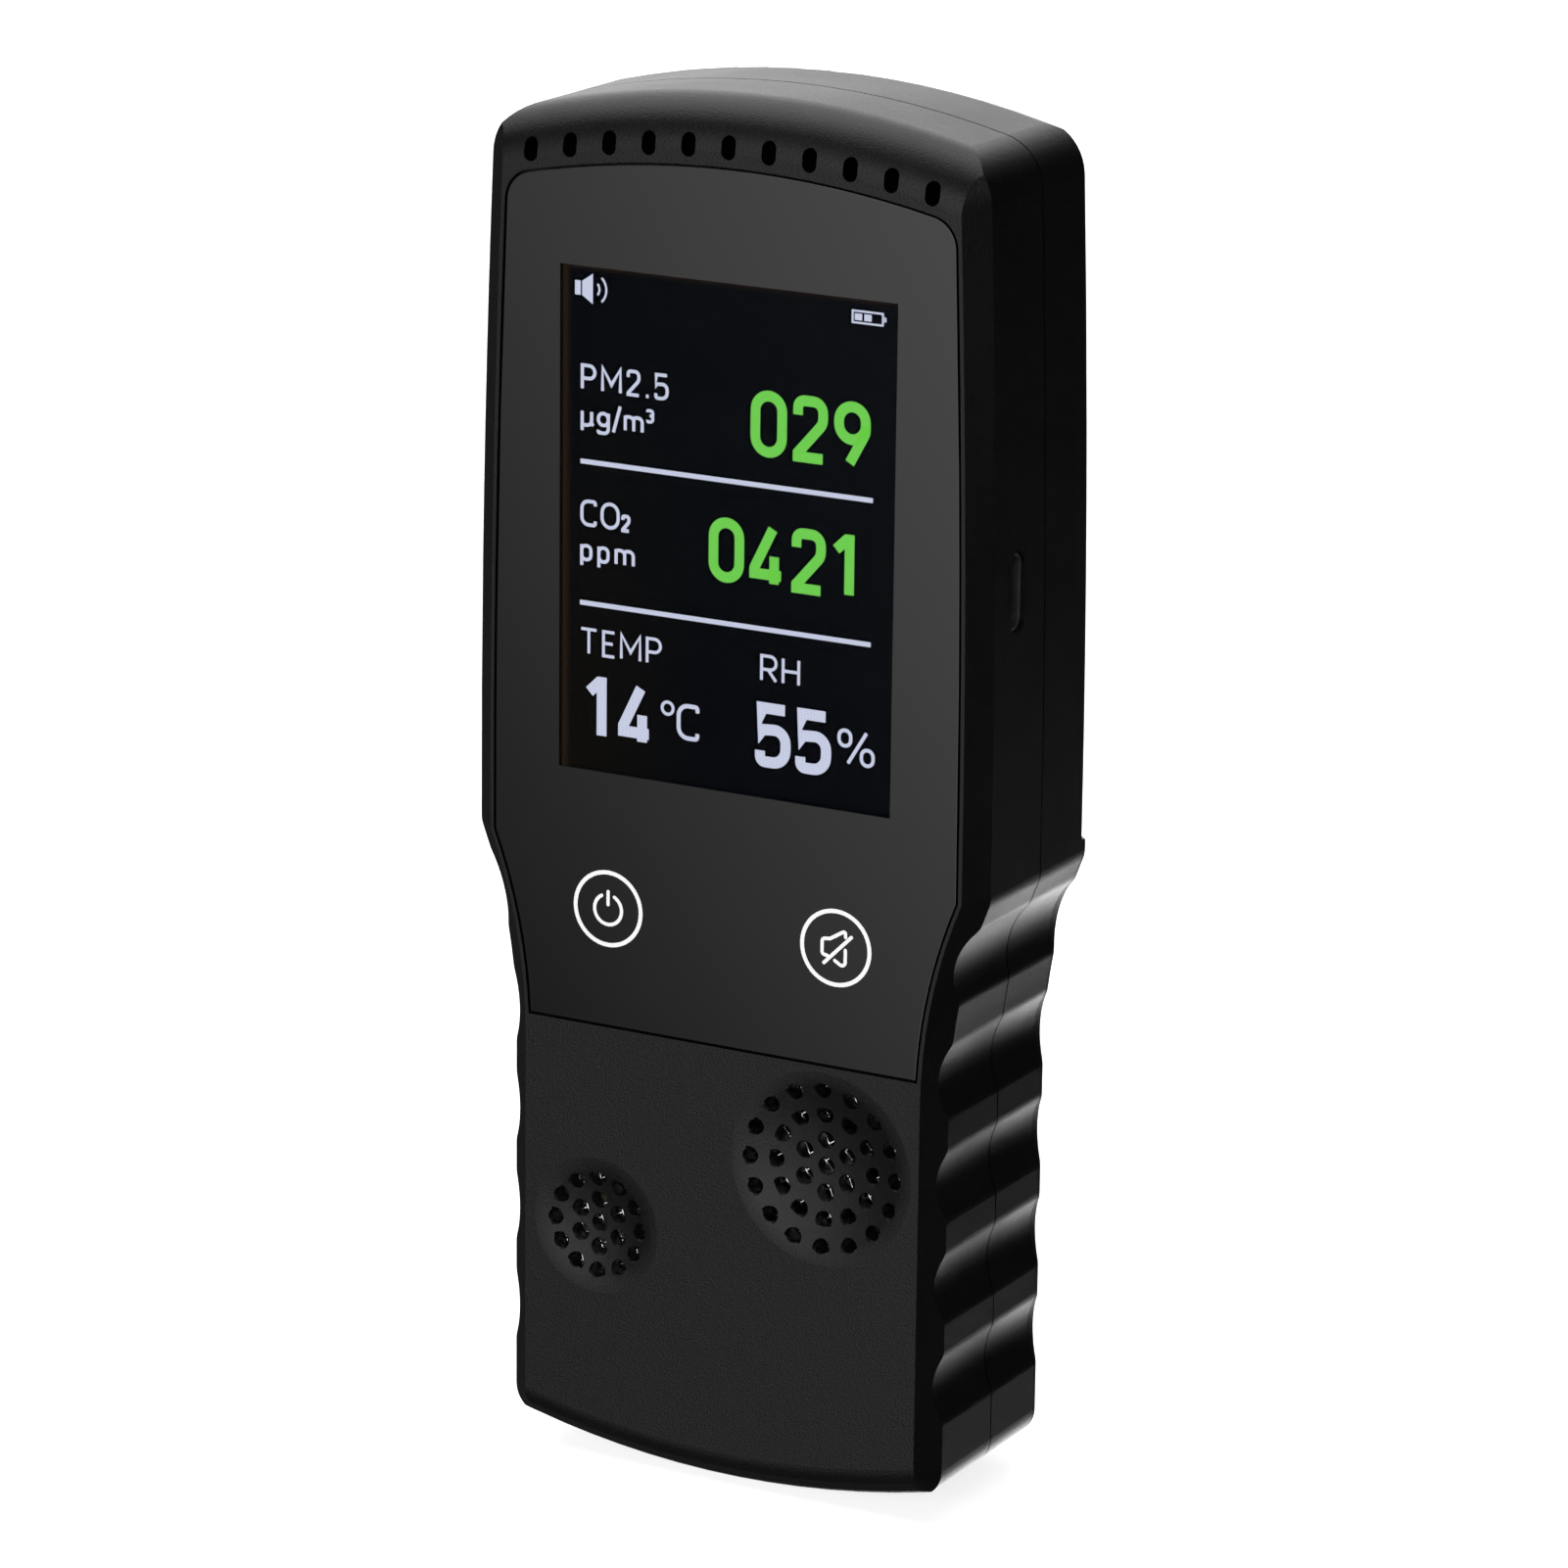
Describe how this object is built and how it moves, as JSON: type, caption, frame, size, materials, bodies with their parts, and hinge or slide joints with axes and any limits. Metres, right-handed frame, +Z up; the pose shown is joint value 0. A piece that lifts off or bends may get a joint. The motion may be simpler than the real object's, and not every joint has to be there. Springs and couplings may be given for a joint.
{
  "type": "air quality monitor",
  "caption": "Handheld air quality monitor: wide head with a flush display and touch keys, finger-grooved grip with dished grilles, side charging socket and sliding battery door.",
  "frame": {"origin": "centre of the whole monitor's box", "axes": "+Z up along the case's length, display facing -Y, +X to the right of someone reading it"},
  "size_m": [0.0668, 0.0284, 0.1634],
  "materials": {
    "housing_plastic": "fine textured black moulded plastic",
    "door_plastic": "fine textured black moulded plastic",
    "lens_glass": "gloss glass with a black printed border",
    "tape": "black foam tape",
    "lcd_glass": "dark display glass",
    "backlight_plastic": "white light guide",
    "inner_plastic": "plain moulded plastic",
    "rotor_plastic": "black moulded plastic",
    "flex_film": "amber polyimide film",
    "circuit_board": "green solder mask",
    "chip_plastic": "black moulded component",
    "spring_metal": "gold plated",
    "socket_metal": "bright stainless steel",
    "gauze_metal": "woven stainless gauze",
    "mesh_nylon": "black woven nylon mesh",
    "sensor_metal": "gold plated can",
    "steel": "zinc plated steel",
    "battery_film": "blue wrapped cell"
  },
  "bodies": {
    "case": {"front_shell": "housing_plastic", "rear_shell": "housing_plastic", "display_lens": "lens_glass", "lens_tape": "tape", "lcd_panel": "lcd_glass", "lcd_backlight": "backlight_plastic", "lcd_holder": "inner_plastic", "pm_sensor_case": "inner_plastic", "pm_sensor_lid": "inner_plastic", "fan_frame": "inner_plastic", "board_connectors": "inner_plastic", "usb_tongue": "inner_plastic", "lcd_flex": "flex_film", "main_board": "circuit_board", "pm_board": "circuit_board", "co2_board": "circuit_board", "microcontroller": "chip_plastic", "board_chips": "chip_plastic", "humidity_sensor": "chip_plastic", "buzzer": "chip_plastic", "laser_module": "chip_plastic", "touch_springs": "spring_metal", "battery_contacts": "spring_metal", "usb_socket": "socket_metal", "large_gauze": "gauze_metal", "small_gauze": "gauze_metal", "vent_gauze": "mesh_nylon", "co2_sensor": "sensor_metal", "fan_shaft": "steel", "case_screws": "steel", "board_screws": "steel", "battery": "battery_film"},
    "battery_door": {"battery_door": "door_plastic"},
    "fan_rotor": {"fan_rotor": "rotor_plastic"}
  },
  "joints": [
    {"name": "battery_door_slide", "type": "slide", "parent": "case", "child": "battery_door", "axis": [0, 0, -1], "range_m": [0, 0.008]},
    {"name": "fan_spin", "type": "hinge", "parent": "case", "child": "fan_rotor", "pos_m": [0.0134, -0.0061, -0.0406], "axis": [0, -1, 0], "continuous": true}
  ]
}
